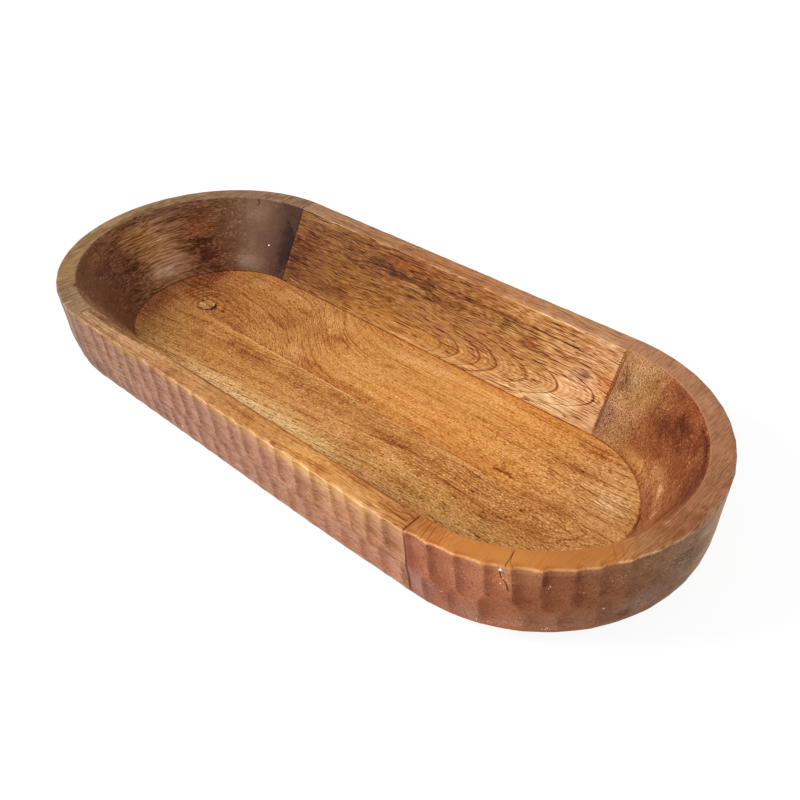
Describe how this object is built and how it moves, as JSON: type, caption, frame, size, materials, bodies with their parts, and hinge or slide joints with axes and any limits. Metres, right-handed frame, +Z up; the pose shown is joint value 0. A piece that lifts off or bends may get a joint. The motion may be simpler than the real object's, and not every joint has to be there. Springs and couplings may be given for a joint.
{
  "type": "dough bowl",
  "caption": "Long oblong wooden dough bowl with round ends, a flat floor, sloping inner walls, a flat rim and a hand-carved fluted outside.",
  "frame": {"origin": "centre of the box round the bowl, on the surface that it stands on", "axes": "+X along the bowl's length towards the right end, +Y across it towards the back rail, +Z up"},
  "size_m": [0.61, 0.262, 0.072],
  "materials": {
    "floor_wood": "satin",
    "front_rail_wood": "satin",
    "back_rail_wood": "satin",
    "left_end_wood": "satin",
    "right_end_wood": "satin",
    "corner_wood": "satin",
    "dowel_wood": "raw"
  },
  "bodies": {
    "root": {"floor_front_board": "floor_wood", "floor_back_board": "floor_wood", "front_rail": "front_rail_wood", "back_rail": "back_rail_wood", "left_end_block": "left_end_wood", "right_end_block": "right_end_wood", "left_front_corner": "corner_wood", "left_back_filler": "corner_wood", "dowel_left_front_lower": "dowel_wood", "dowel_left_front_upper": "dowel_wood", "dowel_left_back_lower": "dowel_wood", "dowel_left_back_upper": "dowel_wood", "dowel_right_front_lower": "dowel_wood", "dowel_right_front_upper": "dowel_wood", "dowel_right_back_lower": "dowel_wood", "dowel_right_back_upper": "dowel_wood"}
  },
  "joints": []
}
